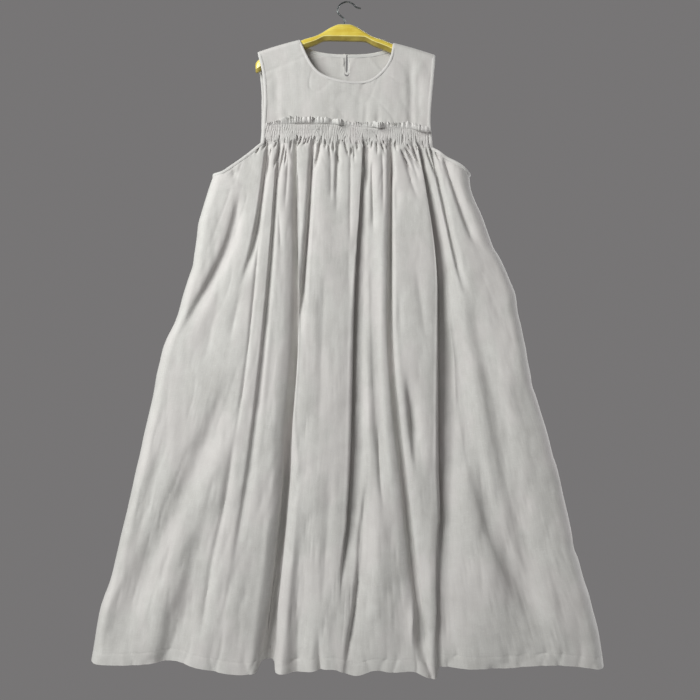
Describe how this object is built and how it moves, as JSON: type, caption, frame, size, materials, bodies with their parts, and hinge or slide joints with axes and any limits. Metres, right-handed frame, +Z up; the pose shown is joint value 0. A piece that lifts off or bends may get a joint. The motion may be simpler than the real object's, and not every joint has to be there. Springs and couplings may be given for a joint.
{
  "type": "sundress on a clothes hanger",
  "caption": "Sleeveless linen sundress with a plain round-necked yoke, a shirred band with a frilled heading and a long gathered skirt, hanging flat on a clothes hanger.",
  "frame": {"origin": "the inner top of the hanger's hook, where it hangs on a rail", "axes": "+Z up, the front of the dress faces -Y, its wearer's right is at -X"},
  "size_m": [1.0573, 0.1011, 1.3922],
  "materials": {
    "linen": "washed plain-weave linen",
    "button_shell": "shell-like, satin",
    "painted_hanger": "yellow lacquer",
    "hook_steel": "dark, blued"
  },
  "bodies": {
    "root": {"front_yoke": "linen", "back_yoke": "linen", "neck_binding": "linen", "slit_binding": "linen", "armhole_binding_left": "linen", "armhole_binding_right": "linen", "front_shirring": "linen", "back_shirring": "linen", "front_frill": "linen", "back_frill": "linen", "front_skirt": "linen", "back_skirt": "linen", "button_loop": "linen", "back_button": "button_shell", "hanger_bar": "painted_hanger", "hanger_hook": "hook_steel"}
  },
  "joints": []
}
